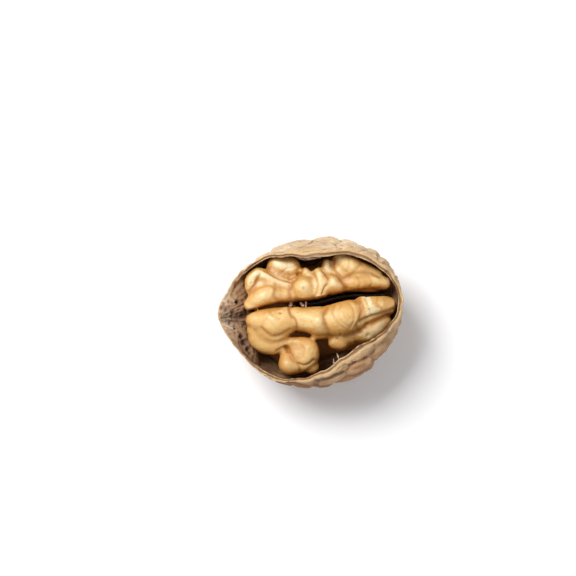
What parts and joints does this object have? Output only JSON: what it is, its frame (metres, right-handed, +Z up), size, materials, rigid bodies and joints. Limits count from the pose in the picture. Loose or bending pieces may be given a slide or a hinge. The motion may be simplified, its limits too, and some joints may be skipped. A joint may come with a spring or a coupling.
{
  "type": "opened walnut",
  "caption": "Cracked-open walnut: a deep wrinkled woody shell holding its lobed seed, with the thin partition standing between the lobes.",
  "frame": {"origin": "bottom centre of the whole nut's box, on the surface that it stands on", "axes": "+X from the pointed end to the blunt end, +Y away from the viewer, +Z up out of the open side"},
  "size_m": [0.0396, 0.0321, 0.0221],
  "materials": {
    "shell": "dry woody shell, wrinkled and dull, pale tan with brown grooves",
    "kernel": "smooth seed skin, golden cream with fine brown creases, slightly waxy",
    "septum": "thin dark woody partition, dull"
  },
  "bodies": {
    "root": {"shell": "shell", "kernel": "kernel", "septum": "septum"}
  },
  "joints": []
}
